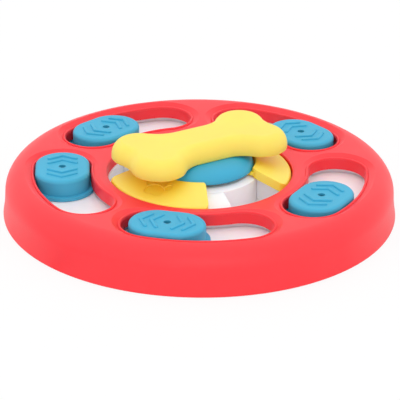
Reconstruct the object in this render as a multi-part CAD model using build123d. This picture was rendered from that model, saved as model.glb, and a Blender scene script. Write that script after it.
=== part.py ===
from build123d import *
import os
from math import atan2, cos, degrees, radians, sin, sqrt

# Dog puzzle feeder: a round tray with five sliding covers and a turning centre lid.
# Millimetres. +Z is up, the front is -Y, angles run from +X towards +Y.
# Heights are measured from the cover's lower edge, which the rubber feet hold
# foot_proud above the floor; every piece is lifted by foot_proud when it is written.

# ---- driving dimensions: red cover ----
foot_proud = 0.6
base_r = 122.5            # outer radius at the lower edge
wall_draft = 1.7          # the side wall leans in this far up to the shoulder
wall_flare = 0.35         # how far the side wall is hollowed
cover_h = 29.2            # top of the rim
shoulder_r = 13.9         # radius of the rounded shoulder
deck_fall = 2.5           # the deck at the centre hole lies this far under the rim
cover_wall = 2.4
lower_edge_round = 0.8
hole_r = 57.6             # centre hole
hole_round = 1.0
collar_over_floor = 3.0   # the collars under the slots end this far above the tray floor
collar_wall = 2.0

# ---- driving dimensions: the five slots ----
slot_count = 5
slot_inward = 4.0         # the slots' centre line lies this far inside the deck's middle
slot_half_w = 17.5
slot_half_angle = 18.8    # from the slot's middle to the centre of its round end
slot_depth = 12.2         # from the rim down to the tray floor
lip_fall = 2.7            # the flat lip round each slot lies this far under the rim
lip_w = 1.0
dish_in = 13.0            # spread of the sloping border over dish_rise, inner side
dish_out = 5.7            # the same on the outer side
dish_end = 5.0            # the same at the round ends
dish_rise = 2.9

# ---- driving dimensions: sliding covers ----
slider_half_w = 16.8
slider_half_len = 23.1
slider_h = 12.6           # from the underside of the flange to the top face
slider_wall = 1.8
slider_round = 2.4
slider_gap = 0.25         # between the tray floor and the flange
flange_w = 2.7
flange_t = 2.1
sound_hole_r = 2.25
chevron_h = 0.5
chevron_w = 1.8
chevron_arm = 8.0
chevron_reach = (9.6, 16.0)   # tips of the two chevrons on each side of the hole
chevron_lean = 4.6
plate_t = 1.6
plate_fit = 0.05          # press fit of the bottom plate in the cap
squeaker_r = 7.0
squeaker_h = 5.6
squeaker_nose_r = 3.0
squeaker_nose_h = 1.5
squeaker_vent_r = 0.7
squeaker_fit = 0.05
squeaker_round = 1.2
squeaker_vent_depth = 2.0
squeaker_seat_wall = 1.2
squeaker_seat_h = 1.4
plate_lift = 0.2          # the plate sits this far up inside the cap
plate_screw_span = 17.0   # from the slider's middle to each plate screw
plate_screw_post_r = 2.6

# ---- driving dimensions: white tray ----
tray_wall = 2.0
tray_inset = 10.5         # the tray's outer wall stands this far inside the cover's lower edge
tray_foot_h = 1.4         # lower edge of the tray's outer wall
rib_t = 1.6
rib_h = 6.0
rib_turn = 9.0            # the first stiffening rib, from the middle of a slot
well_in_r = 36.6          # treat wells round the middle
well_out_r = 56.4
well_half_angle = 26.0
well_depth = 5.8          # from the slider floor down to the wells' floor
well_turn = -39.8         # direction of the first well
bowl_rim_over = 2.5       # the bowl's rim stands this far above the tray floor
bowl_flange_w = 4.0
bowl_flange_t = 1.4
bowl_fit = 0.1            # the bowl in the tray's centre hole
hub_inset = 2.0           # the hub's flat top ends this far inside the lid's inner edge
post_r = 6.0              # pivot post on the hub
hub_collar_h = 6.0        # thick ring under the bush
foot_r = 7.0
foot_inset = 9.5          # the feet stand this far inside the tray's outer wall
foot_t = 2.6
foot_fit = 0.2
foot_round = 0.8
foot_post_wall = 1.2
foot_post_web = 1.4        # closes the foot post above the foot
foot_post_low = 0.8
cover_screw_inset = 1.4   # the cover screws stand this far inside the slots' centre line
cover_boss_r = 4.0
cover_tower_h = 3.0        # the screw tower reaches this far under the tray floor

# ---- driving dimensions: yellow lid ----
lid_in_r = 34.2
lid_gap = 0.6             # between the lid and the edge of the centre hole
lid_edge_fall = 2.9344    # the lid's slope ends this far under the cover's rim at its outer edge
lid_slope = 0.348         # fall of the lid surface per millimetre of radius
lid_depth = 6.0
lid_wall = 2.0
lid_edge_round = 3.0
lid_lip_round = 1.2
lid_corner_r = 4.0
lid_over_tray = 0.6       # running gap between the lid and the tray
window_half_angle = 30.6
window_turns = (-52.7, 163.7)
lid_plate_t = 2.0
lid_plate_r = 26.0
paw_turn = -125.0
paw_pitch_r = 46.2
paw_depth = 0.6

# ---- driving dimensions: blue disc and pivot ----
disc_inset = 0.6          # the disc's edge stands this far inside the lid's inner edge
disc_h = 7.5              # from the lid's plate up to the flat seat
disc_wall = 2.0
disc_flat_r = 16.6        # flat seat for the bone
bush_wall = 2.0
bush_run = 0.06           # running clearance of the lid on the bush
bush_over = 0.35          # end play of the lid under the washer
washer_r = 11.0
washer_t = 1.0
bush_fit = 0.02           # the bush is pressed on the post

# ---- driving dimensions: bone handle ----
bone_turn = 32.7
bone_lobe_x = 36.6
bone_lobe_y = 12.0
bone_lobe_r = 16.95
bone_waist_half = 17.1
bone_neck_r = 18.2        # hollow curve between shaft and lobe
bone_notch_r = 21.75      # hollow curve between the two lobes of an end
bone_base_t = 1.8         # flat base, up to the bone's widest line
bone_base_round = 1.2
bone_top_t = 10.1         # from the widest line to the top
bone_soft = 7.3           # how far the rounded top edge reaches inwards
bone_rim = 0.2            # upright band at the widest line
bone_wall = 2.2
bone_lip_fit = 0.1        # locating lip of the base inside the upper shell
bone_lip_t = 1.2
bone_lip_h = 1.5
bone_boss_r = 3.4
bone_boss_h = 7.6

# ---- driving dimensions: screws ----
screw_fit = 0.02          # shanks sit in their own pilot holes
head_fit = 0.1            # small heads in their recesses
pilot_spare = 0.3         # pilot holes go this much deeper than the shanks
head_round = 0.4          # share of a head's thickness that is rounded
cover_shank_clear = 0.2   # the cover screws pass freely through the tray
cover_head_clear = 0.3
small_shank_r = 1.1
small_head_r = 2.1
small_head_t = 1.0
cover_shank_r = 1.5
cover_head_r = 3.0
cover_head_t = 1.8
cover_shank_len = 9.0
pivot_shank_r = 2.0
pivot_head_r = 4.0
pivot_head_t = 1.8
pivot_shank_len = 12.0
bone_screw_x = 14.0
bone_shank_len = 8.0
disc_shank_len = 4.0
plate_shank_len = 6.0
disc_screw_pitch_r = 22.0
disc_boss_r = 3.2

# ---- places worked out from the sizes above ----
slot_turns = [-90 + 360 / slot_count * i for i in range(slot_count)]
spoke_turns = [turn + 180 / slot_count for turn in slot_turns]
slider_names = ["front", "right", "back_right", "back_left", "left"]
slider_offsets = [-11.9, -11.4, -12.8, 10.3, -14.6]   # where each slider stands in its slot
wall_top_r = base_r - wall_draft
deck_h = cover_h - deck_fall
lip_h = cover_h - lip_fall
floor_h = cover_h - slot_depth                         # floor under the sliders
collar_foot_h = floor_h + collar_over_floor
slot_pitch_r = (hole_r + wall_top_r) / 2 - slot_inward
cover_screw_pitch_r = slot_pitch_r - cover_screw_inset
tray_r = base_r - tray_inset
foot_pitch_r = tray_r - foot_inset
well_floor_h = floor_h - well_depth
bowl_rim_h = floor_h + bowl_rim_over
bowl_floor_h = well_floor_h - tray_wall                # underside of the bowl
bowl_out_r = well_out_r + tray_wall
lid_out_r = hole_r - lid_gap
lid_in_h = cover_h - lid_edge_fall + lid_slope * (lid_out_r - lid_in_r)
disc_r = lid_in_r - disc_inset
hub_r = lid_in_r - hub_inset
plate_h = lid_in_h - lid_slope * (hub_r - lid_in_r) - lid_depth   # underside of the lid's hub plate
hub_top_h = plate_h - lid_over_tray
cone_foot_r = hub_r + (hub_top_h - bowl_rim_h) / lid_slope        # where the tray's cone meets the rim
bush_r = post_r + bush_wall
washer_h = plate_h + lid_plate_t + bush_over           # underside of the washer, top of the post
flange_h = floor_h + slider_gap
disc_foot_h = plate_h + lid_plate_t
bone_seat_h = disc_foot_h + disc_h
bone_seam_h = bone_seat_h + bone_base_t                # the bone's widest line
pieces = {}


def polar(radius, turn, height=0.0):
    """A point given by its radius, direction and height."""
    return (radius * cos(radians(turn)), radius * sin(radians(turn)), height)


def drum(radius, low, high, turn=0.0, pitch=0.0):
    """An upright cylinder between two heights."""
    x, y, _ = polar(pitch, turn)
    return Pos(x, y, low) * Cylinder(radius, high - low, align=(Align.CENTER, Align.CENTER, Align.MIN))


def ring(outer, inner, low, high):
    """A flat ring between two heights."""
    return drum(outer, low, high) - drum(inner, low - 1, high + 1)


def lift(face, low, high):
    """A plan outline raised into a solid between two heights."""
    return Pos(0, 0, low) * extrude(face, amount=high - low)


def lid_surface(radius):
    """Height of the lid's sloping top at a radius."""
    return lid_in_h - lid_slope * (radius - lid_in_r)


def tray_cone(radius):
    """Height of the tray's sloping top under the lid."""
    return lid_surface(radius) - lid_depth - lid_over_tray


def turned(points):
    """A solid of revolution from corner points (radius, height)."""
    return revolve(Plane.XZ * make_face(Polyline(*points, close=True)), axis=Axis.Z)


def circles_of(solid, radius):
    """The round edges of a solid that have this radius."""
    return solid.edges().filter_by(GeomType.CIRCLE).filter_by(lambda e: abs(e.radius - radius) < 0.01)


def sector(inner, outer, half_angle, turn, corner=0.0):
    """The plan of a ring sector with rounded corners."""
    a = radians(half_angle)
    far = (outer * cos(a), outer * sin(a))
    near = (inner * cos(a), inner * sin(a))
    outline = [
        Line(near, far),
        ThreePointArc(far, (outer, 0), (far[0], -far[1])),
        Line((far[0], -far[1]), (near[0], -near[1])),
        ThreePointArc((near[0], -near[1]), (inner, 0), near),
    ]
    face = make_face(outline)
    if corner:
        face = fillet(face.vertices(), corner)
    return Rot(0, 0, turn) * face


# ---------------------------------------------------------------- red cover
def cover_section(inset, low):
    """Half section of the cover's outer skin, moved inwards by inset."""
    side = base_r - inset
    knee = (wall_top_r - inset, cover_h - shoulder_r)
    middle = ((side + knee[0]) / 2 - wall_flare, knee[1] / 2)
    crown_r = wall_top_r - shoulder_r
    inner = hole_r + (collar_wall if inset else 0)
    run = crown_r - hole_r
    fall = cover_h - deck_h
    deck_arc = (run * run + fall * fall) / (2 * fall) - inset
    deck_end = cover_h - inset - deck_arc + sqrt(deck_arc**2 - (crown_r - inner) ** 2)
    lines = [
        Line((side, low), (side, 0)) if low < 0 else None,
        ThreePointArc((side, 0), middle, knee),
        CenterArc((crown_r, cover_h - shoulder_r), shoulder_r - inset, 0, 90),
        TangentArc((crown_r, cover_h - inset), (inner, deck_end), tangent=(-1, 0)),
        Line((inner, deck_end), (inner, low)),
        Line((inner, low), (side, low)),
    ]
    return Plane.XZ * make_face([line for line in lines if line])


def slot_plan(turn, widen=0.0):
    """Plan of one curved slot, widened all round."""
    arc = CenterArc((0, 0), slot_pitch_r, turn - slot_half_angle, 2 * slot_half_angle)
    return SlotArc(arc, 2 * (slot_half_w + widen))


def slot_border(turn):
    """The sloping border round one slot: from the flat lip up to above the deck."""
    inner = slot_pitch_r - slot_half_w - lip_w - dish_in
    outer = slot_pitch_r + slot_half_w + lip_w + dish_out
    pitch = (inner + outer) / 2
    half_w = (outer - inner) / 2
    reach = slot_pitch_r * radians(slot_half_angle) + slot_half_w + lip_w + dish_end
    half_angle = degrees((reach - half_w) / pitch)
    upper = SlotArc(CenterArc((0, 0), pitch, turn - half_angle, 2 * half_angle), 2 * half_w)
    lower = slot_plan(turn, lip_w)
    return loft([Pos(0, 0, lip_h) * lower, Pos(0, 0, lip_h + dish_rise) * upper], ruled=True)


def red_cover():
    body = revolve(cover_section(0, 0), axis=Axis.Z)
    shell = body - revolve(cover_section(cover_wall, -1), axis=Axis.Z)
    # the collar of the centre hole stands on the bowl's rim
    shell -= drum(hole_r + collar_wall + 0.5, -1, bowl_rim_h)
    for turn in slot_turns:
        collar = lift(slot_plan(turn, collar_wall), collar_foot_h, cover_h)
        shell += collar & body
    for turn in spoke_turns:
        boss = drum(cover_boss_r, floor_h, cover_h, turn, cover_screw_pitch_r)
        shell += boss & body
        pilot_top = floor_h - tray_wall + cover_shank_len + pilot_spare
        shell -= drum(cover_shank_r + screw_fit, floor_h - 1, pilot_top, turn, cover_screw_pitch_r)
    for turn in slot_turns:
        shell -= slot_border(turn)
        shell -= lift(slot_plan(turn), 0, cover_h + 1)
    hole_rim = circles_of(shell, hole_r).sort_by(Axis.Z)[-1:]
    shell = fillet(hole_rim, hole_round)
    lower_rim = circles_of(shell, base_r)
    return fillet(lower_rim, lower_edge_round)


# ---------------------------------------------------------------- white tray
def white_tray():
    """The ring-shaped floor under the sliders with its outer wall, ribs, towers and foot posts."""
    inner = bowl_out_r + bowl_fit
    tray = turned([
        (inner, floor_h - tray_wall), (tray_r - tray_wall, floor_h - tray_wall),
        (tray_r - tray_wall, tray_foot_h), (tray_r, tray_foot_h), (tray_r, floor_h), (inner, floor_h),
    ])
    # stiffening ribs under the slider floor
    for i in range(2 * slot_count):
        rib = Pos((inner + tray_r) / 2, 0, floor_h - tray_wall - rib_h / 2)
        rib *= Box(tray_r - inner - tray_wall, rib_t, rib_h)
        tray += Rot(0, 0, slot_turns[0] + rib_turn + 180 / slot_count * i) * rib
    # screw towers and foot posts on the spokes
    for turn in spoke_turns:
        tower_low = floor_h - tray_wall - cover_tower_h
        tray += drum(cover_head_r + tray_wall, tower_low, floor_h, turn, cover_screw_pitch_r)
        tray -= drum(cover_shank_r + cover_shank_clear, 0, floor_h + 1, turn, cover_screw_pitch_r)
        tray -= drum(cover_head_r + cover_head_clear, 0, floor_h - tray_wall, turn, cover_screw_pitch_r)
        seat_h = foot_t - foot_proud
        post = drum(foot_r + foot_fit + foot_post_wall, foot_post_low, floor_h, turn, foot_pitch_r)
        post -= drum(foot_r - tray_wall, seat_h + foot_post_web, floor_h - tray_wall, turn, foot_pitch_r)
        post -= drum(foot_r + foot_fit, 0, seat_h, turn, foot_pitch_r)
        tray += post & drum(tray_r, 0, floor_h)
    return tray


def treat_bowl():
    """The round wall of the bowl under the lid, with the flange that rests on the tray."""
    flange_r = bowl_out_r + bowl_flange_w
    return turned([
        (well_out_r, well_floor_h), (bowl_out_r, well_floor_h), (bowl_out_r, floor_h), (flange_r, floor_h),
        (flange_r, floor_h + bowl_flange_t), (bowl_out_r, floor_h + bowl_flange_t),
        (bowl_out_r, bowl_rim_h), (cone_foot_r, bowl_rim_h), (well_out_r, tray_cone(well_out_r)),
    ])


def well_ribs():
    """The five ribs that part the treat wells; their tops follow the lid's slope."""
    inner = well_in_r + bowl_fit
    outer = well_out_r - bowl_fit
    under_cone = turned([
        (inner, well_floor_h), (outer, well_floor_h), (outer, tray_cone(outer)), (inner, tray_cone(inner)),
    ])
    rib_half = 180 / slot_count - well_half_angle
    ribs = Part()
    for i in range(slot_count):
        rib = sector(inner, outer, rib_half, well_turn + 180 / slot_count * (2 * i + 1))
        ribs += lift(rib, well_floor_h, hub_top_h) & under_cone
    return ribs


def well_hub():
    """The hollow hub between the wells, with the pivot post and its pilot hole."""
    hollow_r = well_in_r - tray_wall
    hollow_h = hub_top_h - tray_wall
    hub = turned([
        (0, well_floor_h), (post_r, well_floor_h), (post_r, hub_top_h - hub_collar_h),
        (bush_r, hub_top_h - hub_collar_h), (bush_r, hollow_h), (hub_r - tray_wall, hollow_h),
        (hollow_r, tray_cone(well_in_r) - tray_wall), (hollow_r, well_floor_h), (well_in_r, well_floor_h),
        (well_in_r, tray_cone(well_in_r)), (hub_r, hub_top_h), (post_r, hub_top_h),
        (post_r, washer_h), (0, washer_h),
    ])
    return hub - drum(pivot_shank_r + screw_fit, washer_h - pivot_shank_len, washer_h + 1)


# ---------------------------------------------------------------- yellow lid
def lid_section(inset):
    """Half section of the lid's sloping ring; inset gives the hollow under it."""
    top_in = (lid_in_r + inset, lid_surface(lid_in_r + inset) - inset)
    top_out = (lid_out_r - inset, lid_surface(lid_out_r - inset) - inset)
    low = lid_depth + (1 if inset else 0)
    low_out = (lid_out_r - inset, lid_surface(lid_out_r) - low)
    low_in = (lid_in_r + inset, lid_surface(lid_in_r) - low)
    face = make_face(Polyline(top_in, top_out, low_out, low_in, close=True))
    if not inset:
        face = fillet(face.vertices().sort_by_distance(top_out)[0], lid_edge_round)
        face = fillet(face.vertices().sort_by_distance(top_in)[0], lid_lip_round)
    return Plane.XZ * face


def blade_spans():
    """Middle direction and half angle of the closed parts between the two windows."""
    first, second = window_turns
    spans = []
    for start, end in ((first, second), (second, first + 360)):
        half = (end - start) / 2 - window_half_angle
        spans.append(((start + end) / 2, half))
    return spans


def paw_plan():
    """A plain paw print: one pad and four toes, toes towards the middle of the toy."""
    pad = Ellipse(6.6, 4.2) + Pos(3.2, -1.4) * Circle(3.2) + Pos(-3.2, -1.4) * Circle(3.2)
    toes = Sketch()
    for x, y, lean in ((-7.2, 4.4, 24), (-2.6, 7.0, 8), (2.6, 7.0, -8), (7.2, 4.4, -24)):
        toes += Pos(x, y) * Rot(0, 0, lean) * Ellipse(1.9, 2.5)
    return pad + toes


def treat_lid():
    ring_solid = revolve(lid_section(0), axis=Axis.Z)
    hollow = revolve(lid_section(lid_wall), axis=Axis.Z)
    lid = ring(lid_plate_r, bush_r + bush_run, plate_h, plate_h + lid_plate_t)
    for turn, half in blade_spans():
        plan = sector(lid_in_r, lid_out_r, half, turn, lid_corner_r)
        blade = ring_solid & lift(plan, 0, lid_in_h + 1)
        core_half = half - degrees(lid_wall / lid_in_r)
        core = hollow & lift(sector(lid_in_r, lid_out_r, core_half, turn), 0, lid_in_h + 1)
        blade = blade - core
        web = sector(lid_plate_r - 1, lid_in_r + lid_wall, half, turn)
        lid += blade
        lid += lift(web, plate_h, plate_h + lid_plate_t)
    x, y, _ = polar(paw_pitch_r, paw_turn)
    paw = Pos(x, y) * Rot(0, 0, paw_turn + 90) * paw_plan()
    band = turned([
        (lid_in_r, lid_surface(lid_in_r) - paw_depth), (lid_out_r, lid_surface(lid_out_r) - paw_depth),
        (lid_out_r, lid_in_h + 5), (lid_in_r, lid_in_h + 5),
    ])
    lid -= lift(paw, 0, lid_in_h + 4) & band
    for i in range(3):
        turn = bone_turn + 90 + 120 * i
        lid -= drum(small_shank_r + screw_fit, plate_h - 1, plate_h + lid_plate_t + 1, turn, disc_screw_pitch_r)
        lid -= drum(small_head_r + head_fit, plate_h - 1, plate_h + small_head_t, turn, disc_screw_pitch_r)
    return lid


# ---------------------------------------------------------------- blue disc
def disc_section(inset):
    """Half section of the disc's domed skin, drawn in by inset: a quarter ellipse round the flat seat."""
    low = disc_foot_h - (1 if inset else 0)
    edge = disc_r - inset
    seat = (disc_flat_r, bone_seat_h - inset)
    lines = [
        Line((0, seat[1]), seat),
        EllipticalCenterArc((disc_flat_r, disc_foot_h), edge - disc_flat_r, disc_h - inset, 0, arc_size=90),
        Line((edge, disc_foot_h), (edge, low)) if inset else None,
        Line((edge, low), (0, low)),
        Line((0, low), (0, seat[1])),
    ]
    return Plane.XZ * make_face([line for line in lines if line])


def blue_disc():
    body = revolve(disc_section(0), axis=Axis.Z)
    disc = body - revolve(disc_section(disc_wall), axis=Axis.Z)
    pilot_top = plate_h + small_head_t + disc_shank_len + pilot_spare
    for i in range(3):
        turn = bone_turn + 90 + 120 * i
        disc += drum(disc_boss_r, disc_foot_h, bone_seat_h, turn, disc_screw_pitch_r) & body
        disc -= drum(small_shank_r + screw_fit, disc_foot_h - 1, pilot_top, turn, disc_screw_pitch_r)
    for turn in (bone_turn, bone_turn + 180):
        disc -= drum(small_shank_r + screw_fit, disc_foot_h, bone_seat_h + 1, turn, bone_screw_x)
    return disc


# ---------------------------------------------------------------- bone handle
def bone_plan():
    """Plan of the bone along X: a shaft, four round lobes, and hollow curves between them."""
    # the hollow curve on the shaft touches the shaft line and one lobe
    neck_y = bone_waist_half + bone_neck_r
    neck_x = bone_lobe_x - sqrt((bone_neck_r + bone_lobe_r) ** 2 - (neck_y - bone_lobe_y) ** 2)
    share = bone_lobe_r / (bone_lobe_r + bone_neck_r)
    touch = (bone_lobe_x + (neck_x - bone_lobe_x) * share, bone_lobe_y + (neck_y - bone_lobe_y) * share)
    # the hollow curve in the end touches both lobes
    notch_x = bone_lobe_x + sqrt((bone_notch_r + bone_lobe_r) ** 2 - bone_lobe_y**2)
    share = bone_lobe_r / (bone_lobe_r + bone_notch_r)
    end = (bone_lobe_x + (notch_x - bone_lobe_x) * share, bone_lobe_y * (1 - share))
    out = atan2(touch[1] - bone_lobe_y, touch[0] - bone_lobe_x)
    back = atan2(end[1] - bone_lobe_y, end[0] - bone_lobe_x)
    mid = (out + back) / 2
    crown = (bone_lobe_x + bone_lobe_r * cos(mid), bone_lobe_y + bone_lobe_r * sin(mid))
    dip = atan2(touch[1] - neck_y, touch[0] - neck_x)
    dip_mid = (dip + radians(-90)) / 2
    hollow = (neck_x + bone_neck_r * cos(dip_mid), neck_y + bone_neck_r * sin(dip_mid))
    quarter = [
        Line((0, bone_waist_half), (neck_x, bone_waist_half)),
        ThreePointArc((neck_x, bone_waist_half), hollow, touch),
        ThreePointArc(touch, crown, end),
        ThreePointArc(end, (notch_x - bone_notch_r, 0), (end[0], -end[1])),
    ]
    top = quarter[:3]
    right = top + [quarter[3]] + [mirror(line, about=Plane.XZ) for line in top]
    left = [mirror(line, about=Plane.YZ) for line in right]
    return make_face(right + left)


def bone_loaf(inset):
    """The bone above its widest line, with an elliptic edge; inset gives its hollow."""
    plan = bone_plan()
    if inset:
        plan = offset(plan, -inset)
    soft = bone_soft - inset
    loaf = lift(plan, 0, soft + bone_rim)
    loaf = fillet(loaf.faces().sort_by(Axis.Z)[-1].edges(), soft)
    return scale(loaf, by=(1, 1, (bone_top_t - inset) / (soft + bone_rim)))


def bone_shells():
    """The bone's upper shell and its flat base, which meet at the widest line."""
    place = Pos(0, 0, bone_seam_h) * Rot(0, 0, bone_turn)
    upper = place * (bone_loaf(0) - bone_loaf(bone_wall))
    base = lift(bone_plan(), -bone_base_t, 0)
    base = fillet(base.faces().sort_by(Axis.Z)[0].edges(), bone_base_round)
    lip_in = bone_wall + bone_lip_fit
    base += lift(offset(bone_plan(), -lip_in) - offset(bone_plan(), -lip_in - bone_lip_t), 0, bone_lip_h)
    lower = place * base
    for turn in (bone_turn, bone_turn + 180):
        lower += drum(bone_boss_r, bone_seat_h + bone_base_t / 2, bone_seat_h + bone_boss_h, turn, bone_screw_x)
        pilot_top = bone_seat_h - disc_wall + bone_shank_len + pilot_spare
        lower -= drum(small_shank_r + screw_fit, bone_seat_h - 1, pilot_top, turn, bone_screw_x)
    return upper, lower


# ---------------------------------------------------------------- sliding covers
def slider_plan(widen=0.0):
    """Plan of a sliding cover: long side across the spoke, ends round."""
    straight = 2 * (slider_half_len - slider_half_w)
    return SlotCenterToCenter(straight, 2 * (slider_half_w + widen), rotation=90)


def chevron(tip):
    """One raised chevron that points along +Y."""
    arms = Polyline((-chevron_arm, tip - chevron_lean), (0, tip), (chevron_arm, tip - chevron_lean))
    return trace(arms, chevron_w)


def slider_cap():
    cap = lift(slider_plan(), 0, slider_h)
    cap = fillet(cap.faces().sort_by(Axis.Z)[-1].edges(), slider_round)
    cap += lift(slider_plan(flange_w), 0, flange_t)
    hollow = lift(slider_plan(-slider_wall), -1, slider_h - slider_wall)
    cap -= fillet(hollow.faces().sort_by(Axis.Z)[-1].edges(), slider_round - slider_wall)
    marks = Sketch()
    for tip in chevron_reach:
        for side in (0, 180):
            marks += Rot(0, 0, side) * chevron(tip)
    cap += lift(marks, slider_h - 0.1, slider_h + chevron_h)
    cap -= drum(sound_hole_r, 0, slider_h + 1)
    plate_top = plate_lift + plate_t
    pilot_top = plate_lift + small_head_t + plate_shank_len + pilot_spare
    for y in (-plate_screw_span, plate_screw_span):
        post = Pos(0, y, 0) * drum(plate_screw_post_r, plate_top, slider_h - slider_wall)
        cap += post
        cap -= Pos(0, y, 0) * drum(small_shank_r + screw_fit, plate_top - 1, pilot_top)
    return cap


def slider_plate():
    plate_top = plate_lift + plate_t
    plate = lift(slider_plan(-slider_wall - plate_fit), plate_lift, plate_top)
    seat_r = squeaker_r + squeaker_fit
    plate += ring(seat_r + squeaker_seat_wall, seat_r, plate_top, plate_top + squeaker_seat_h)
    for y in (-plate_screw_span, plate_screw_span):
        plate -= Pos(0, y, 0) * drum(small_shank_r + screw_fit, 0, plate_top + 1)
        plate -= Pos(0, y, 0) * drum(small_head_r + head_fit, 0, plate_lift + small_head_t)
    return plate


def squeaker():
    foot = plate_lift + plate_t
    body = drum(squeaker_r, foot, foot + squeaker_h)
    body = fillet(body.faces().sort_by(Axis.Z)[-1].edges(), squeaker_round)
    top = foot + squeaker_h
    body += drum(squeaker_nose_r, top, top + squeaker_nose_h)
    return body - drum(squeaker_vent_r, top - squeaker_vent_depth, top + squeaker_nose_h + 1)


# ---------------------------------------------------------------- fasteners and feet
def screw(head_r, head_t, shank_r, shank_len):
    """A pan-head screw with its shank upwards; the head's seat is at the origin."""
    head = drum(head_r, -head_t, 0)
    head = fillet(head.faces().sort_by(Axis.Z)[0].edges(), head_t * head_round)
    return head + drum(shank_r, 0, shank_len)


def spread(solid, spots):
    """Copies of one solid at several spots, kept as separate solids."""
    return Compound(children=[Pos(*spot) * solid for spot in spots])


def small_screw(length):
    return screw(small_head_r, small_head_t, small_shank_r, length)


def slider_screws():
    spots = [(0, y, plate_lift + small_head_t) for y in (-plate_screw_span, plate_screw_span)]
    return spread(small_screw(plate_shank_len), spots)


def pivot_screw():
    down = screw(pivot_head_r, pivot_head_t, pivot_shank_r, washer_t + pivot_shank_len - pilot_spare)
    return Pos(0, 0, washer_h + washer_t) * Rot(180, 0, 0) * down


# ---------------------------------------------------------------- the toy
pieces["red_cover"] = red_cover()
pieces["white_tray"] = white_tray()
pieces["treat_bowl"] = treat_bowl()
pieces["well_floor"] = drum(bowl_out_r, bowl_floor_h, well_floor_h)
pieces["well_ribs"] = well_ribs()
pieces["well_hub"] = well_hub()
pieces["treat_lid"] = treat_lid()
pieces["blue_disc"] = blue_disc()
pieces["bone_upper"], pieces["bone_lower"] = bone_shells()

pieces["pivot_bush"] = ring(bush_r, post_r + bush_fit, hub_top_h, washer_h)
pieces["pivot_washer"] = ring(washer_r, pivot_shank_r + screw_fit, washer_h, washer_h + washer_t)
pieces["pivot_screw"] = pivot_screw()
disc_screw_spots = [
    polar(disc_screw_pitch_r, bone_turn + 90 + 120 * i, plate_h + small_head_t) for i in range(3)
]
pieces["disc_screws"] = spread(small_screw(disc_shank_len), disc_screw_spots)
bone_screw_spots = [
    polar(bone_screw_x, bone_turn + 180 * i, bone_seat_h - disc_wall) for i in range(2)
]
pieces["bone_screws"] = spread(small_screw(bone_shank_len), bone_screw_spots)
cover_screw = screw(cover_head_r, cover_head_t, cover_shank_r, cover_shank_len)
cover_screw_spots = [polar(cover_screw_pitch_r, turn, floor_h - tray_wall) for turn in spoke_turns]
pieces["cover_screws"] = spread(cover_screw, cover_screw_spots)
foot_pad = drum(foot_r, -foot_proud, foot_t - foot_proud)
foot_pad = fillet(foot_pad.faces().sort_by(Axis.Z)[0].edges(), foot_round)
pieces["rubber_feet"] = spread(foot_pad, [polar(foot_pitch_r, turn) for turn in spoke_turns])

slider_pieces = {
    "slider_cap": slider_cap(),
    "slider_plate": slider_plate(),
    "slider_squeaker": squeaker(),
    "slider_screws": slider_screws(),
}
for name, turn, offset_turn in zip(slider_names, slot_turns, slider_offsets):
    place = Rot(0, 0, turn + offset_turn) * Pos(slot_pitch_r, 0, flange_h)
    for kind, solid in slider_pieces.items():
        pieces[f"{kind}_{name}"] = place * solid

os.makedirs("parts", exist_ok=True)
for name, solid in pieces.items():
    export_step(Pos(0, 0, foot_proud) * solid, f"parts/{name}.step")
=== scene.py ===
from functools import partial
from math import atan2, cos, pi, radians, sin

import bmesh
import bpy
import numpy as np
from bpy.props import FloatProperty, FloatVectorProperty, PointerProperty
from bpy.types import Operator, Panel, PropertyGroup
from mathutils import Matrix, Vector


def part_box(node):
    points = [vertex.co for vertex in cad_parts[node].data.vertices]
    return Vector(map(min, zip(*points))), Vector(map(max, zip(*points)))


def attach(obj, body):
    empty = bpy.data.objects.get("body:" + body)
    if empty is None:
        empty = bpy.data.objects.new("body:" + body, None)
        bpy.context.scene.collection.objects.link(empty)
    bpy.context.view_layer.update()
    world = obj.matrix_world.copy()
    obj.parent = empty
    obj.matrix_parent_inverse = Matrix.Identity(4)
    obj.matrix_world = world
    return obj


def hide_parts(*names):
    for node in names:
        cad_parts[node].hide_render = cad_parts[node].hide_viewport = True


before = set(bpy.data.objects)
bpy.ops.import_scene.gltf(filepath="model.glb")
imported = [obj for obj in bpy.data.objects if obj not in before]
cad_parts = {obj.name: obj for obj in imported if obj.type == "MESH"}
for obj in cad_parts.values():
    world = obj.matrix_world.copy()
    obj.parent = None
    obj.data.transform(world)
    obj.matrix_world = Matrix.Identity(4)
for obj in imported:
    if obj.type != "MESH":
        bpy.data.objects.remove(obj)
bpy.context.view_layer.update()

bl_info = {
    "name": "Puzzle Feeder Looks",
    "version": (1, 0, 0),
    "blender": (4, 5, 0),
    "location": "3D View > Sidebar > Feeder",
    "description": "Finishes, small moulded details and a soft studio for a round dog puzzle feeder",
    "category": "Object",
}

MM = 0.001
SLIDERS = ("front", "right", "back_right", "back_left", "left")
SLOT_TURNS = [radians(-90 + 72 * i) for i in range(5)]    # middle of each slot
SPOKE_TURNS = [radians(-54 + 72 * i) for i in range(5)]   # halfway between two slots
SLOT_R = 85.2 * MM                     # centre line of the slots
SLOT_HALF = radians(18.8)              # from a slot's middle to the centre of its round end
SLOT_WIDE = 17.5 * MM                  # half width of a slot
LIP_LEVEL = 27.1 * MM                  # flat lip round each slot
TRAY_LEVEL = 17.6 * MM                 # tray floor under the sliding covers
CHEVRON_TIPS = (9.6 * MM, 16.0 * MM)   # from a sliding cover's middle to the tips of its chevrons
CHEVRON_ARM = 9.4 * MM                 # from a chevron's middle line out to the ends of its arms
CHEVRON_LEAN = 5.405 * MM              # the ends of the arms lie this far behind the tip
CHEVRON_STEP = 0.5 * MM                # a sliding cover's flat top lies this far under its highest point
SCREW_RING_R = 83.8 * MM               # the cover screws' circle
SCREW_HEAD_T = 1.8 * MM                # height of a cover screw's head
FOOT_RING_R = 102.5 * MM               # the feet's circle
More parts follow.
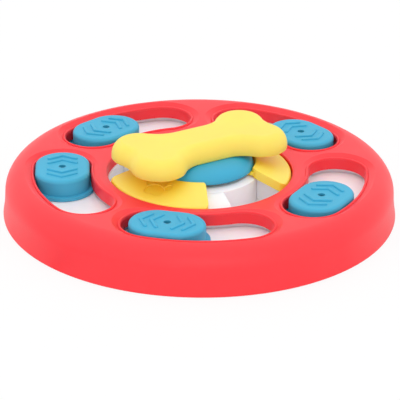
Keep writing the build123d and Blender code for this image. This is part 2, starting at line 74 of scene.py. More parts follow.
SINK = 0.2 * MM                        # a raised detail reaches this far into the piece that carries it

TONE_DRIFT = 0.06                      # a moulding's tone varies by this share from place to place
GLOSS_DRIFT = 0.08                     # and its roughness by this much
EDGE_RUB = 0.06                        # handled edges are this share paler
EDGE_POLISH = 0.12                     # and smoother by this much
PLASTIC_BLEED = (1.0, 0.7, 0.5)        # how far red, green and blue light go under the surface
PLASTIC_REACH = 1.5 * MM               # and the distance that the first of them goes
YELLOW_BLEED = (1.0, 0.6, 0.15)        # the same for the yellow plastic, which light fills more
YELLOW_REACH = 3.0 * MM


# ------------------------------------------------------------------ properties
def colour(label, default, what):
    """One colour that a user can change."""
    return FloatVectorProperty(
        name=label, description=what, subtype="COLOR", size=3, min=0, max=1, default=default)


def length(label, default, what, least=0.0):
    """One length in metres that a user can change."""
    return FloatProperty(
        name=label, description=what, subtype="DISTANCE", unit="LENGTH", min=least, precision=5,
        default=default)


def angle(label, degrees, what):
    """One angle that a user can change."""
    return FloatProperty(
        name=label, description=what, subtype="ANGLE", unit="ROTATION", default=radians(degrees))


def strength(label, default, what, unit):
    """The strength of one light that a user can change."""
    return FloatProperty(name=label, description=what, unit=unit, min=0, default=default)


class FeederFinish(PropertyGroup):
    """Colours and surface finish of the moulded pieces."""
    red: colour("Cover red", (0.97, 0.026, 0.040), "Self-coloured plastic of the cover")
    white: colour("Tray white", (0.92, 0.935, 0.98), "Self-coloured plastic of the tray")
    yellow: colour("Lid yellow", (0.98, 0.75, 0.115), "Plastic of the lid and the bone handle")
    blue: colour("Disc blue", (0.026, 0.38, 0.60), "Plastic of the disc and the plates")
    soft_blue: colour("Sliding cover blue", (0.042, 0.41, 0.63), "Soft skin of the sliding covers")
    # the squeakers' dark colour is painted shade, so the sound holes above them read dark
    squeaker: colour("Squeaker painted shade", (0.02, 0.05, 0.09), "Dark colour of the squeakers, painted shade in the sound holes")
    bush: colour("Bush cream", (0.75, 0.73, 0.66), "Plastic of the bush on which the lid turns")
    rubber: colour("Foot rubber", (0.035, 0.035, 0.038), "Non-slip feet")
    steel: colour("Screw steel", (0.62, 0.61, 0.59), "Zinc-plated screws and washer")
    grain: length("Mould grain", 0.35 * MM, "Size of the spark-eroded grain of the mould")
    edge: length("Edge softness", 0.35 * MM, "How far light rolls round a moulded edge")
    lip_wide: length("Slot lip half width", 1.0 * MM, "Half the width of the rolled lip round each slot")
    lip_high: length("Slot lip height", 1.2 * MM, "Height of the rolled lip over the cover")
    rail_out: length("Guide rail distance", 3.2 * MM, "From a slot's edge to the middle of its guide rail")
    rail_wide: length("Guide rail half width", 0.55 * MM, "Half the thickness of the guide rails")
    rail_high: length("Guide rail height", 2.9 * MM, "Height of the guide rails over the tray")
    ridge_wide: length("Chevron half width", 1.1 * MM, "Half the width of the raised chevrons")
    ridge_high: length("Chevron height", 1.0 * MM, "Height of the chevrons over a sliding cover")
    recess: length("Screw recess", 0.9 * MM, "Depth of the cross recess in the cover screws")
    ring_deep: length("Foot ring depth", 0.35 * MM, "Depth of the rings in the underside of the feet")


class FeederStage(PropertyGroup):
    """Camera and lights."""
    view_turn: angle("View turn", 0.839, "Direction of the camera round the toy")
    view_rise: angle("View rise", 24.77, "Height of the camera above the horizon")
    view_roll: angle("View roll", 0.505, "Tilt of the camera about its own axis")
    distance: length("Camera distance", 1.35, "From the camera to the point that it looks at")
    aim_side: length("Aim sideways", 0.32 * MM, "The point it looks at, to the right of the middle", -1.0)
    aim_height: length("Aim height", 6.4 * MM, "Height of the point it looks at")
    lens: FloatProperty(
        name="Lens", description="Focal length for a 36 mm wide sensor", unit="CAMERA", default=194.19)
    key_light: strength("Overhead light", 1.7, "Power of the large overhead soft box", "POWER")
    fill_light: strength("Front fill", 2.8, "Power of the front soft box", "POWER")
    sky_light: strength("Room light", 1.07, "Brightness of the surroundings as a light", "NONE")


# ------------------------------------------------------------------ node helpers
def node(tree, kind, inputs=None, **settings):
    """A new shader node with its settings and its unlinked input values."""
    made = tree.nodes.new(kind)
    for key, value in settings.items():
        setattr(made, key, value)
    for key, value in (inputs or {}).items():
        made.inputs[key].default_value = value
    return made


def link(tree, source, target):
    """Joins an output socket to an input socket."""
    tree.links.new(source, target)


def new_group(name, inputs, outputs):
    """An empty shader node group with these sockets; inputs are (name, socket type, default)."""
    tree = bpy.data.node_groups.new(name, "ShaderNodeTree")
    for label, kind, default in inputs:
        tree.interface.new_socket(name=label, in_out="INPUT", socket_type=kind).default_value = default
    for label, kind in outputs:
        tree.interface.new_socket(name=label, in_out="OUTPUT", socket_type=kind)
    return tree, tree.nodes.new("NodeGroupInput"), tree.nodes.new("NodeGroupOutput")


def new_material(name):
    """A new material with its node tree and its Principled shader."""
    material = bpy.data.materials.new(name)
    material.use_nodes = True
    return material, material.node_tree, material.node_tree.nodes["Principled BSDF"]


def math_node(tree, operation, first, second, clamp=False):
    """A Math node; each operand is a socket to link or a plain number."""
    made = node(tree, "ShaderNodeMath", operation=operation, use_clamp=clamp)
    for socket, operand in zip(made.inputs, (first, second)):
        if isinstance(operand, (int, float)):
            socket.default_value = operand
        else:
            link(tree, operand, socket)
    return made.outputs[0]


def mix_shaders(tree, share, first, second):
    """A Mix Shader node: the first shader where share is 0, the second where it is 1."""
    made = node(tree, "ShaderNodeMixShader")
    for socket, source in zip(made.inputs, (share, first, second)):
        link(tree, source, socket)
    return made.outputs[0]


# ------------------------------------------------------------------ shared effects
def mould_grain_group():
    """Fine grain left by the mould and the slow change of gloss over a moulding.

    Height is two layers of noise, the coarse one four times the grain; Gloss is a slow
    noise from 0 to 1 with patches of about 30 mm.
    """
    tree, given, out = new_group(
        "Mould grain",
        [("Grain", "NodeSocketFloat", 0.0004), ("Seed", "NodeSocketFloat", 0.0)],
        [("Height", "NodeSocketFloat"), ("Gloss", "NodeSocketFloat")],
    )
    noise = partial(node, tree, "ShaderNodeTexNoise", noise_dimensions="4D")
    fine = noise({"Detail": 2.0, "Roughness": 0.6})
    coarse = noise({"Detail": 1.0})
    slow = noise({"Scale": 32.0, "Detail": 3.0, "Roughness": 0.55})
    place = node(tree, "ShaderNodeTexCoord").outputs["Object"]
    for layer in (fine, coarse, slow):
        link(tree, place, layer.inputs["Vector"])
        link(tree, given.outputs["Seed"], layer.inputs["W"])
    per_metre = math_node(tree, "DIVIDE", 1.0, given.outputs["Grain"])
    link(tree, per_metre, fine.inputs["Scale"])
    link(tree, math_node(tree, "MULTIPLY", per_metre, 0.25), coarse.inputs["Scale"])
    under = math_node(tree, "MULTIPLY", coarse.outputs["Fac"], 0.7)
    link(tree, math_node(tree, "ADD", fine.outputs["Fac"], under), out.inputs["Height"])
    spread = node(tree, "ShaderNodeMapRange", {"From Min": 0.3, "From Max": 0.7})
    link(tree, slow.outputs["Fac"], spread.inputs["Value"])
    link(tree, spread.outputs["Result"], out.inputs["Gloss"])
    return tree


def soft_edge_group():
    """Light that rolls round a moulded edge, and a mask of the edges.

    Normal is the surface normal averaged over Radius. Edge is how far it departs from the
    true normal: 0 on a face, 1 on a crisp edge.
    """
    tree, given, out = new_group(
        "Soft edge",
        [("Radius", "NodeSocketFloat", 0.0004)],
        [("Normal", "NodeSocketVector"), ("Edge", "NodeSocketFloat")],
    )
    bevel = node(tree, "ShaderNodeBevel", samples=6)
    link(tree, given.outputs["Radius"], bevel.inputs["Radius"])
    surface = node(tree, "ShaderNodeNewGeometry")
    dot = node(tree, "ShaderNodeVectorMath", operation="DOT_PRODUCT")
    link(tree, bevel.outputs["Normal"], dot.inputs[0])
    link(tree, surface.outputs["Normal"], dot.inputs[1])
    mask = node(tree, "ShaderNodeMapRange", {"From Min": 0.995, "From Max": 0.75})
    link(tree, dot.outputs["Value"], mask.inputs["Value"])
    link(tree, bevel.outputs["Normal"], out.inputs["Normal"])
    link(tree, mask.outputs["Result"], out.inputs["Edge"])
    return tree


def painted_shade_group(name, own):
    """A mask of painted shade: 0 in the open, 1 in creases and close under something, where shade falls.

    It is one minus the share of open sky within Reach, spread over a useful range. own keeps it
    to the piece's own shape, for pieces that others slide past.
    """
    tree, given, out = new_group(
        name,
        [("Reach", "NodeSocketFloat", 0.004)],
        [("Painted shade", "NodeSocketFloat")],
    )
    sky = node(tree, "ShaderNodeAmbientOcclusion", samples=8, only_local=own)
    link(tree, given.outputs["Reach"], sky.inputs["Distance"])
    mask = node(tree, "ShaderNodeMapRange", {"From Min": 0.95, "From Max": 0.45})
    link(tree, sky.outputs["AO"], mask.inputs["Value"])
    link(tree, mask.outputs["Result"], out.inputs["Painted shade"])
    return tree


def drift_and_shade_group():
    """Tone of a self-coloured plastic, with painted shade.

    It drifts slowly lighter and darker by Drift, turns paler by Rub where edges are handled, and
    goes deeper in creases and under other pieces as painted shade of light passing from wall to wall:
    the colour is raised to the power of one plus the shade mask times its strength.
    """
    tree, given, out = new_group(
        "Colour drift and painted shade",
        [("Colour", "NodeSocketColor", (0.5, 0.5, 0.5, 1)), ("Gloss", "NodeSocketFloat", 0.5),
         ("Edge", "NodeSocketFloat", 0.0), ("Painted shade", "NodeSocketFloat", 0.0),
         ("Drift", "NodeSocketFloat", 0.06), ("Rub", "NodeSocketFloat", 0.1),
         ("Deep", "NodeSocketFloat", 0.0)],
        [("Colour", "NodeSocketColor")],
    )
    # painted shade: the colour is deepened where the shade mask is high
    power = math_node(tree, "MULTIPLY", given.outputs["Painted shade"], given.outputs["Deep"])
    shade_depth = node(tree, "ShaderNodeGamma")
    link(tree, given.outputs["Colour"], shade_depth.inputs["Color"])
    link(tree, math_node(tree, "ADD", power, 1.0), shade_depth.inputs["Gamma"])
    centred = math_node(tree, "SUBTRACT", given.outputs["Gloss"], 0.5)
    gain = math_node(tree, "MULTIPLY", centred, given.outputs["Drift"])
    tone = node(tree, "ShaderNodeHueSaturation")
    link(tree, shade_depth.outputs["Color"], tone.inputs["Color"])
    link(tree, math_node(tree, "ADD", gain, 1.0), tone.inputs["Value"])
    pale = node(tree, "ShaderNodeMix", {"B": (1, 1, 1, 1)}, data_type="RGBA")
    rubbed = math_node(tree, "MULTIPLY", given.outputs["Edge"], given.outputs["Rub"])
    link(tree, rubbed, pale.inputs["Factor"])
    link(tree, tone.outputs["Color"], pale.inputs["A"])
    link(tree, pale.outputs["Result"], out.inputs["Colour"])
    return tree


EFFECTS = {
    "grain": mould_grain_group,
    "edge": soft_edge_group,
    "drift": drift_and_shade_group,
    # these two give the painted shade mask, shade painted into creases and under other pieces
    "own painted shade": partial(painted_shade_group, "Own painted shade", True),
    "near painted shade": partial(painted_shade_group, "Near painted shade", False),
}
effect_trees = {}


def effect(tree, name, **values):
    """Places a shared effect in a material with its own values."""
    if name not in effect_trees:
        effect_trees[name] = EFFECTS[name]()
    made = node(tree, "ShaderNodeGroup", node_tree=effect_trees[name])
    for key, value in values.items():
        made.inputs[key].default_value = value
    return made


# ------------------------------------------------------------------ materials
def textured(tree, shader, rgb, grain_size, edge_reach, seed, bump_high, drift, rub, shade_depth=0.0):
    """Gives a material its grain, its edges and its tone with any painted shade, and returns those three
    effects.
    """
    grain = effect(tree, "grain", Grain=grain_size, Seed=seed)
    edges = effect(tree, "edge", Radius=edge_reach)
    tint = effect(tree, "drift", Colour=(*rgb, 1), Drift=drift, Rub=rub, Deep=shade_depth)
    link(tree, grain.outputs["Gloss"], tint.inputs["Gloss"])
    link(tree, edges.outputs["Edge"], tint.inputs["Edge"])
    link(tree, tint.outputs["Colour"], shader.inputs["Base Color"])
    bump = node(tree, "ShaderNodeBump", {"Strength": 1.0, "Distance": bump_high})
    link(tree, grain.outputs["Height"], bump.inputs["Height"])
    link(tree, edges.outputs["Normal"], bump.inputs["Normal"])
    link(tree, bump.outputs["Normal"], shader.inputs["Normal"])
    return grain, edges, tint


def moulded(name, rgb, rough, bump_high, seed, soft=0.0, bleed=PLASTIC_BLEED, reach=PLASTIC_REACH,
            shade_depth=0.0, shade_kind="own painted shade", under=5 * MM):
    """A moulded plastic or rubber: grain in the bump, slow drift in colour and gloss, lit edges.

    soft is the share of the light that scatters under the surface, over the distances bleed
    times reach. The last three arguments give painted shade: how much deeper the colour is in
    creases and under other pieces, which the named effect looks for within the distance under.
    """
    finish = bpy.context.scene.feeder_finish
    material, tree, shader = new_material(name)
    grain, edges, tint = textured(
        tree, shader, rgb, finish.grain, finish.edge, seed, bump_high, TONE_DRIFT, EDGE_RUB, shade_depth)
    # painted shade, deepening the colour in creases and under other pieces
    if shade_depth:
        link(tree, effect(tree, shade_kind, Reach=under).outputs["Painted shade"], tint.inputs["Painted shade"])
    polish = math_node(tree, "MULTIPLY", edges.outputs["Edge"], -EDGE_POLISH)
    uneven = math_node(tree, "MULTIPLY", grain.outputs["Gloss"], GLOSS_DRIFT)
    base = math_node(tree, "ADD", uneven, rough - GLOSS_DRIFT / 2)
    link(tree, math_node(tree, "ADD", base, polish, clamp=True), shader.inputs["Roughness"])
    if soft:
        shader.inputs["Subsurface Weight"].default_value = soft
        shader.inputs["Subsurface Radius"].default_value = bleed
        shader.inputs["Subsurface Scale"].default_value = reach
    return material


def plated_steel(rgb):
    """Zinc-plated steel with fine turning marks and a slightly uneven gloss."""
    material, tree, shader = new_material("Plated steel")
    shader.inputs["Metallic"].default_value = 1.0
    grain = textured(tree, shader, rgb, grain_size=0.12 * MM, edge_reach=0.15 * MM, seed=9.0,
                     bump_high=0.004 * MM, drift=0.2, rub=0.1)[0]
    uneven = math_node(tree, "MULTIPLY", grain.outputs["Gloss"], 0.15)
    link(tree, math_node(tree, "ADD", uneven, 0.28), shader.inputs["Roughness"])
    return material


def dress(nodes, material):
    """Gives the toy's solid pieces their finish through their material slots."""
    for name in nodes:
        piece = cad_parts[name]
        for slot in piece.material_slots:
            slot.material = material
        if not piece.material_slots:
            piece.data.materials.append(material)


# ------------------------------------------------------------------ surfaces
def full_turn(count):
    """Evenly spaced angles once round."""
    return np.linspace(0, 2 * pi, count, endpoint=False)


def spin(turn):
    """The matrix that turns points in plan, for use from the right."""
    return np.array(((cos(turn), sin(turn)), (-sin(turn), cos(turn))))


def grid_mesh(points, wrap_rows):
    """A mesh from a (rows, columns, 3) array of points; columns close on themselves, rows may."""
    rows, columns = points.shape[:2]
    index = np.arange(rows * columns).reshape(rows, columns)
    if wrap_rows:
        index = np.vstack((index, index[:1]))
    index = np.hstack((index, index[:, :1]))
    quads = np.stack((index[:-1, :-1], index[1:, :-1], index[1:, 1:], index[:-1, 1:]), axis=-1)
    mesh = bpy.data.meshes.new("surface")
    mesh.from_pydata(points.reshape(-1, 3).tolist(), [], quads.reshape(-1, 4).tolist())
    return mesh


def joined(name, meshes):
    """One smooth piece from closed surfaces, welded at their poles, with faces that point outwards."""
    work = bmesh.new()
    for mesh in meshes:
        work.from_mesh(mesh)
        bpy.data.meshes.remove(mesh)
    bmesh.ops.remove_doubles(work, verts=work.verts, dist=0.0001 * MM)
    bmesh.ops.recalc_face_normals(work, faces=work.faces)
    mesh = bpy.data.meshes.new(name)
    work.to_mesh(mesh)
    work.free()
    mesh.polygons.foreach_set("use_smooth", np.ones(len(mesh.polygons), bool))
    piece = bpy.data.objects.new(name, mesh)
    bpy.context.scene.collection.objects.link(piece)
    return piece


def slot_outline(turn, distance, count):
    """Points and outward directions of a curve at a distance outside a slot's centre line.

    The slot's centre line is an arc of radius SLOT_R and half angle SLOT_HALF. Its outline is the
    outer arc, a half circle, the inner arc and a half circle, walked by the angle of each part.
    """
    arc = np.linspace(-SLOT_HALF, SLOT_HALF, count)
    cap = np.linspace(0, pi, count // 2)[1:-1]
    outer = np.stack((np.cos(arc), np.sin(arc)), axis=-1)
    start = np.array((cos(SLOT_HALF), sin(SLOT_HALF)))
    side = np.array((-sin(SLOT_HALF), cos(SLOT_HALF)))
    far_cap = np.outer(np.cos(cap), start) + np.outer(np.sin(cap), side)
    near_cap = far_cap[::-1] * (1, -1)
    ends = SLOT_R * start
    points = np.vstack((
        outer * (SLOT_R + distance),
        ends + far_cap * distance,
        outer[::-1] * (SLOT_R - distance),
        ends * (1, -1) + near_cap * distance,
    ))
    ways = np.vstack((outer, far_cap, -outer[::-1], near_cap))
    return points @ spin(turn), ways @ spin(turn)


def round_slot(turn, distance, count, across, height):
    """A closed surface whose section is carried along a slot's outline at the given distance.

    across and height are the section's points, outwards from the outline and over the floor.
    """
    path, ways = slot_outline(turn, distance, count)
    plan = path[:, None, :] + ways[:, None, :] * across[None, :, None]
    tall = np.broadcast_to(height, plan.shape[:2])
    return grid_mesh(np.concatenate((plan, tall[..., None]), axis=-1), wrap_rows=True)


def slot_lip(turn, distance, half_width, height, level):
    """A rolled lip round one slot: an ellipse of half_width by height, its lower half in the cover."""
    around = full_turn(16)
    return round_slot(turn, distance, 72, half_width * np.cos(around), level + height * np.sin(around))


def guide_rail(turn, distance, half_width, low, high):
    """A low rail round one slot on the tray, which keeps a sliding cover's flange in its track.

    Its section is a bar with a half round top, whose foot is sunk in the tray.
    """
    top = np.linspace(0, pi, 9)
    foot = (low - SINK,)
    across = np.concatenate(((half_width,), half_width * np.cos(top), (-half_width,)))
    rise = np.concatenate((foot, high - half_width + half_width * np.sin(top), foot))
    return round_slot(turn, distance, 60, across, rise)


def squared(wave):
    """Turns a sine or cosine into one coordinate of a superellipse of power 3."""
    return np.sign(wave) * np.abs(wave) ** (2 / 3)


def chevron_ridge(tip, side, half_width, height, level, centre, turn):
    """One raised chevron on a sliding cover, with steep sides, a soft crest and round ends.

    A superellipse of half_width by height is carried along two arms that meet at the tip. Its
    size falls to nothing at both ends along a circle, and it is mitred at the tip. side is 1 or
    -1, for the chevron that points along the slot one way or the other.
    """
    slope = CHEVRON_LEAN / CHEVRON_ARM
    stretch = np.hypot(1, slope)
    near_end = (1 - np.cos(np.linspace(0, pi / 2, 9))) * half_width / CHEVRON_ARM
    share = np.unique(np.concatenate((near_end - 1, np.linspace(-0.8, 0.8, 25), 1 - near_end)))
    from_end = (1 - np.abs(share)) * CHEVRON_ARM * stretch
    size = np.sqrt(1 - (1 - np.clip(from_end / half_width, 0, 1)) ** 2)
    path = np.stack((share * CHEVRON_ARM, tip - np.abs(share) * CHEVRON_LEAN), axis=-1)
    ways = np.stack((np.sign(share) * slope / stretch, np.full(len(share), 1 / stretch)), axis=-1)
    ways[share == 0] = (0, stretch)
    around = full_turn(20)
    across = half_width * squared(np.cos(around))
    rise = np.maximum(height * squared(np.sin(around)), -SINK)
    plan = path[:, None, :] + ways[:, None, :] * across[None, :, None] * size[:, None, None]
    plan = side * plan @ spin(turn) + np.array(centre)
    tall = level + rise[None, :] * size[:, None]
    return grid_mesh(np.concatenate((plan, tall[..., None]), axis=-1), wrap_rows=False)


def turned_surface(radius, height, centre, lift=None):
    """A surface of revolution about an upright line through centre, closed at both ends on the axis.

    radius and height are the profile; lift(r, angle), when given, is added to the height.
    """
    around = full_turn(96)
    wide = radius[:, None] * np.ones_like(around)
    tall = height[:, None] * np.ones_like(around)
    if lift is not None:
        tall = tall + lift(wide, around[None, :])
    points = np.stack((centre[0] + wide * np.cos(around), centre[1] + wide * np.sin(around), tall), axis=-1)
    return grid_mesh(points, wrap_rows=False)


def soft_step(value, low, high):
    """Smooth step from 0 at low to 1 at high."""
    share = np.clip((value - low) / (high - low), 0, 1)
    return share * share * (3 - 2 * share)


def edge_arc(centre, radius, start):
    """Radii and heights along the quarter circle of a rounded edge, from start degrees on."""
    around = np.linspace(radians(start), radians(start + 90), 9)
    return centre[0] + radius * np.cos(around), centre[1] + radius * np.sin(around)


def cross_screw(centre, seat, recess):
    """A pan-head screw, head down, with a cross recess.

    The profile runs from the middle of the head's underside round its edge, up to the seat, in to
    the shank and up to its rounded tip. The recess lifts the head's underside by its depth inside
    two crossed bars, whose walls are smooth steps, and fades out before the head's edge.
    """
    head_r = 3.0 * MM
    head_edge = 0.72 * MM
    shank_r = 1.5 * MM
    shank_len = 9.0 * MM
    tip_edge = 0.3 * MM
    bar_side = (0.3 * MM, 0.5 * MM)
    bar_end = (1.2 * MM, 1.7 * MM)
    low = seat - SCREW_HEAD_T
    tip = seat + shank_len
    flat = np.linspace(0, head_r - head_edge, 40)
    round_r, round_h = edge_arc((head_r - head_edge, low + head_edge), head_edge, -90)
    tip_r, tip_h = edge_arc((shank_r - tip_edge, tip - tip_edge), tip_edge, 0)
    radius = np.concatenate((flat, round_r[1:], (head_r, shank_r, shank_r), tip_r, (0,)))
    height = np.concatenate((
        np.full(len(flat), low), round_h[1:], (seat, seat, seat + 0.1 * MM), tip_h, (tip,)))

    def lift(wide, around):
        """Height of the recess over the flat of the head, nothing elsewhere."""
        along, over = np.abs(wide * np.cos(around)), np.abs(wide * np.sin(around))
        in_bar = 1 - soft_step(np.minimum(along, over), *bar_side)
        in_reach = 1 - soft_step(np.maximum(along, over), *bar_end)
        on_flat = np.arange(len(wide))[:, None] < len(flat)
        return recess * in_bar * in_reach * on_flat

    return turned_surface(radius, height, centre, lift)


def ringed_foot(centre, ring_deep):
    """A round rubber foot whose underside has three concentric grooves.

    The underside is a row of half waves: the height over the floor is ring_deep times the square
    of a sine of the radius, so the crests between the grooves all stand on the floor.
    """
    foot_r = 7.0 * MM
    foot_t = 2.6 * MM
    edge = 0.8 * MM
    rings = 3
    flat = np.linspace(0, foot_r - edge, 61)
    groove = ring_deep * np.sin(rings * pi * flat / flat[-1]) ** 2
    round_r, round_h = edge_arc((foot_r - edge, edge), edge, -90)
    radius = np.concatenate((flat, round_r[1:], (foot_r, 0)))
    height = np.concatenate((groove, round_h[1:], (foot_t, foot_t)))
    return turned_surface(radius, height, centre)


def on_circle(radius, turns):
    """Points on a circle round the toy's middle."""
    return [(radius * cos(turn), radius * sin(turn)) for turn in turns]


# ------------------------------------------------------------------ pieces
class FEEDER_OT_cover(Operator):
    """Finish the red cover"""
    bl_idname = "feeder.cover"
    bl_label = "Red cover"

    def execute(self, context):
        finish = context.scene.feeder_finish
        # the cover red takes painted shade in its own creases, round the lips and slots
        plastic = moulded("Cover red plastic", finish.red, rough=0.42, bump_high=0.012 * MM, seed=1.0,
                          soft=0.5, shade_depth=0.7)
        dress(["red_cover"], plastic)
        lips = joined("slot_lips", [
            slot_lip(turn, SLOT_WIDE + finish.lip_wide, finish.lip_wide * 0.9, finish.lip_high, LIP_LEVEL)
            for turn in SLOT_TURNS
        ])
        lips.data.materials.append(plastic)
        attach(lips, "base")
        return {"FINISHED"}


class FEEDER_OT_tray(Operator):
    """Finish the white tray and its treat wells"""
    bl_idname = "feeder.tray"
    bl_label = "White tray"

    def execute(self, context):
        finish = context.scene.feeder_finish
        plastic = moulded("Tray white plastic", finish.white, rough=0.36, bump_high=0.008 * MM, seed=2.0,
                          soft=0.4)
        dress(["white_tray", "treat_bowl", "well_floor", "well_ribs", "well_hub"], plastic)
        rail_top = TRAY_LEVEL + finish.rail_high
        rails = joined("guide_rails", [
            guide_rail(turn, SLOT_WIDE + finish.rail_out, finish.rail_wide, TRAY_LEVEL, rail_top)
            for turn in SLOT_TURNS
        ])
        rails.data.materials.append(plastic)
        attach(rails, "base")
        return {"FINISHED"}


class FEEDER_OT_lid(Operator):
    """Finish the turning lid and its disc"""
    bl_idname = "feeder.lid"
    bl_label = "Lid and disc"

    def execute(self, context):
        finish = context.scene.feeder_finish
        # the lid yellow takes painted shade in creases and under the bone, within 16 mm
        yellow = moulded("Lid yellow plastic", finish.yellow, rough=0.44, bump_high=0.012 * MM, seed=3.0,
                         soft=0.4, bleed=YELLOW_BLEED, reach=YELLOW_REACH,
                         shade_depth=0.5, shade_kind="near painted shade", under=16 * MM)
        blue = moulded("Disc blue plastic", finish.blue, rough=0.44, bump_high=0.012 * MM, seed=4.0)
        dress(["treat_lid"], yellow)
        dress(["blue_disc"], blue)
        return {"FINISHED"}


class FEEDER_OT_bone(Operator):
    """Finish the bone handle"""
    bl_idname = "feeder.bone"
    bl_label = "Bone handle"

    def execute(self, context):
        finish = context.scene.feeder_finish
        yellow = moulded("Bone yellow plastic", finish.yellow, rough=0.5, bump_high=0.014 * MM, seed=5.0,
                         soft=0.4, bleed=YELLOW_BLEED, reach=YELLOW_REACH)
        dress(["bone_upper", "bone_lower"], yellow)
        return {"FINISHED"}


class FEEDER_OT_sliders(Operator):
    """Finish the sliding covers and what is inside them"""
    bl_idname = "feeder.sliders"
    bl_label = "Sliding covers"

    def execute(self, context):
        finish = context.scene.feeder_finish
        skin = moulded("Soft blue skin", finish.soft_blue, rough=0.52, bump_high=0.016 * MM, seed=6.0,
                       soft=0.08)
        plate = moulded("Plate blue plastic", finish.blue, rough=0.42, bump_high=0.010 * MM, seed=7.0)
        # painted shade: the squeakers are made near black to stand for the shade inside the sound holes
        squeaker = moulded("Squeaker dark painted shade", finish.squeaker, rough=0.3, bump_high=0.004 * MM, seed=8.0)
        for name in SLIDERS:
            dress([f"slider_cap_{name}"], skin)
            dress([f"slider_plate_{name}"], plate)
            dress([f"slider_squeaker_{name}"], squeaker)
            low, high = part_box(f"slider_cap_{name}")
            centre = ((low[0] + high[0]) / 2, (low[1] + high[1]) / 2)
            turn = atan2(centre[1], centre[0])
            level = high[2] - CHEVRON_STEP
            marks = joined(f"slider_chevrons_{name}", [
                chevron_ridge(tip, side, finish.ridge_wide, finish.ridge_high, level, centre, turn)
                for tip in CHEVRON_TIPS for side in (1, -1)
            ])
            marks.data.materials.append(skin)
            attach(marks, f"slider_{name}")
        return {"FINISHED"}


class FEEDER_OT_fasteners(Operator):
    """Finish the screws, the washer, the bush and the feet"""
    bl_idname = "feeder.fasteners"
    bl_label = "Fasteners and feet"

    def execute(self, context):
        finish = context.scene.feeder_finish
        steel = plated_steel(finish.steel)
        rubber = moulded("Foot rubber", finish.rubber, rough=0.7, bump_high=0.02 * MM, seed=11.0)
        dress(["pivot_screw", "pivot_washer", "disc_screws", "bone_screws"], steel)
        dress([f"slider_screws_{name}" for name in SLIDERS], steel)
        cream = moulded("Bush plastic", finish.bush, rough=0.4, bump_high=0.006 * MM, seed=10.0)
        dress(["pivot_bush"], cream)
        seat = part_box("cover_screws")[0][2] + SCREW_HEAD_T
        screws = joined("cover_screws_crossed", [
            cross_screw(spot, seat, finish.recess) for spot in on_circle(SCREW_RING_R, SPOKE_TURNS)
        ])
        screws.data.materials.append(steel)
        feet = joined("rubber_feet_ringed", [
            ringed_foot(spot, finish.ring_deep) for spot in on_circle(FOOT_RING_R, SPOKE_TURNS)
        ])
        feet.data.materials.append(rubber)
        for piece, solid, slot in (
            (screws, "cover_screws", "screw_steel"),
            (feet, "rubber_feet", "foot_rubber"),
        ):
            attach(piece, "base")
            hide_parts(solid)
        return {"FINISHED"}


# ------------------------------------------------------------------ stage
def soft_box(name, size, place, aim, power):
    """A square area light that faces a point."""
    data = bpy.data.lights.new(name, "AREA")
    data.shape = "SQUARE"
    data.size = size
    data.energy = power
    lamp = bpy.data.objects.new(name, data)
    lamp.location = place
    lamp.rotation_euler = (Vector(aim) - Vector(place)).to_track_quat("-Z", "Y").to_euler()
    bpy.context.scene.collection.objects.link(lamp)


def seen_share(tree):
    """A mask that is 1 for what is looked at, directly or mirrored, and 0 for light on the toy."""
    path = node(tree, "ShaderNodeLightPath")
    return math_node(tree, "MAXIMUM", path.outputs["Is Camera Ray"], path.outputs["Is Glossy Ray"])


def white_room(strength):
    """Surroundings that look plain white, and light the toy at a strength of their own."""
    world = bpy.data.worlds.new("Room")
    world.use_nodes = True
    tree = world.node_tree
    tree.nodes.clear()
    lit = node(tree, "ShaderNodeBackground", {"Color": (1, 1, 1, 1), "Strength": strength})
    seen = node(tree, "ShaderNodeBackground", {"Color": (1, 1, 1, 1), "Strength": 1.0})
    room = mix_shaders(tree, seen_share(tree), lit.outputs[0], seen.outputs[0])
    link(tree, room, node(tree, "ShaderNodeOutputWorld").inputs["Surface"])
    bpy.context.scene.world = world


def pale_floor():
    """A plain pale floor that keeps a light shadow and is clear from below."""
    half = 3.0
    mesh = bpy.data.meshes.new("Floor")
    corners = [(-half, -half, 0), (half, -half, 0), (half, half, 0), (-half, half, 0)]
    mesh.from_pydata(corners, [], [(0, 1, 2, 3)])
    floor = bpy.data.objects.new("Floor", mesh)
    bpy.context.scene.collection.objects.link(floor)
    material = bpy.data.materials.new("Pale floor")
    material.use_nodes = True
    tree = material.node_tree
    tree.nodes.clear()
    paint = node(tree, "ShaderNodeBsdfDiffuse", {"Color": (0.9, 0.9, 0.9, 1)})
    glow = node(tree, "ShaderNodeEmission", {"Color": (1, 1, 1, 1), "Strength": 1.0})
    glow_share = math_node(tree, "MULTIPLY", seen_share(tree), 0.9)
    top = mix_shaders(tree, glow_share, paint.outputs[0], glow.outputs[0])
    under = node(tree, "ShaderNodeBsdfTransparent")
    below = node(tree, "ShaderNodeNewGeometry").outputs["Backfacing"]
    surface = mix_shaders(tree, below, top, under.outputs[0])
    link(tree, surface, node(tree, "ShaderNodeOutputMaterial").inputs["Surface"])
    mesh.materials.append(material)


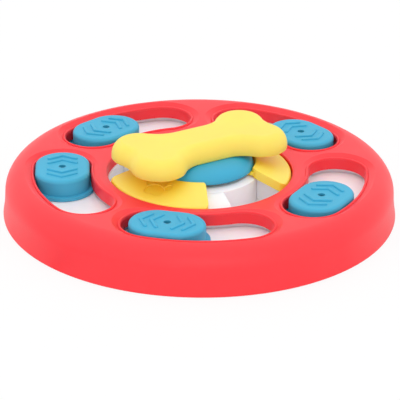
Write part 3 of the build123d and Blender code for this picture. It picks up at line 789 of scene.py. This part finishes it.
def place_camera(stage):
    """A camera at the given turn and rise round the toy, rolled about its own axis."""
    turn, rise, roll = stage.view_turn, stage.view_rise, stage.view_roll
    back = Vector((sin(turn) * cos(rise), -cos(turn) * cos(rise), sin(rise)))
    right = Vector((cos(turn), sin(turn), 0))
    up = back.cross(right)
    aim = stage.aim_side * right + Vector((0, 0, stage.aim_height))
    rolled_right = right * cos(roll) + up * sin(roll)
    rolled_up = up * cos(roll) - right * sin(roll)
    data = bpy.data.cameras.new("Camera")
    data.sensor_width = 36.0
    data.lens = stage.lens
    data.clip_start = 0.01
    data.clip_end = 20.0
    camera = bpy.data.objects.new("Camera", data)
    pose = Matrix((rolled_right, rolled_up, back)).transposed().to_4x4()
    pose.translation = aim + back * stage.distance
    camera.matrix_world = pose
    bpy.context.scene.collection.objects.link(camera)
    bpy.context.scene.camera = camera


class FEEDER_OT_stage(Operator):
    """Set up the floor, the soft lights and the camera"""
    bl_idname = "feeder.stage"
    bl_label = "Stage"

    def execute(self, context):
        stage = context.scene.feeder_stage
        context.scene.view_settings.view_transform = "Standard"
        white_room(stage.sky_light)
        pale_floor()
        soft_box("Overhead soft box", size=1.6, place=(-0.15, 0.1, 1.5), aim=(0, 0, 0), power=stage.key_light)
        soft_box("Front soft box", size=1.2, place=(0.2, -1.7, 0.9), aim=(0, 0, 0.02), power=stage.fill_light)
        place_camera(stage)
        return {"FINISHED"}


# ------------------------------------------------------------------ panel
OPERATORS = (
    FEEDER_OT_cover, FEEDER_OT_tray, FEEDER_OT_lid, FEEDER_OT_bone, FEEDER_OT_sliders,
    FEEDER_OT_fasteners, FEEDER_OT_stage,
)


class FEEDER_PT_panel(Panel):
    """Sidebar panel with the sizes, the colours and one button for each group of pieces"""
    bl_label = "Puzzle feeder"
    bl_space_type = "VIEW_3D"
    bl_region_type = "UI"
    bl_category = "Feeder"

    def draw(self, context):
        for group in (context.scene.feeder_finish, context.scene.feeder_stage):
            for key in group.bl_rna.properties.keys():
                if key not in ("rna_type", "name"):
                    self.layout.prop(group, key)
        for kind in OPERATORS:
            self.layout.operator(kind.bl_idname)


CLASSES = (FeederFinish, FeederStage, *OPERATORS, FEEDER_PT_panel)


def register():
    for kind in CLASSES:
        bpy.utils.register_class(kind)
    bpy.types.Scene.feeder_finish = PointerProperty(type=FeederFinish)
    bpy.types.Scene.feeder_stage = PointerProperty(type=FeederStage)


def unregister():
    del bpy.types.Scene.feeder_stage
    del bpy.types.Scene.feeder_finish
    for kind in reversed(CLASSES):
        bpy.utils.unregister_class(kind)


def main():
    register()
    bpy.ops.feeder.cover()
    bpy.ops.feeder.tray()
    bpy.ops.feeder.lid()
    bpy.ops.feeder.bone()
    bpy.ops.feeder.sliders()
    bpy.ops.feeder.fasteners()
    bpy.ops.feeder.stage()


if __name__ == "__main__":
    main()
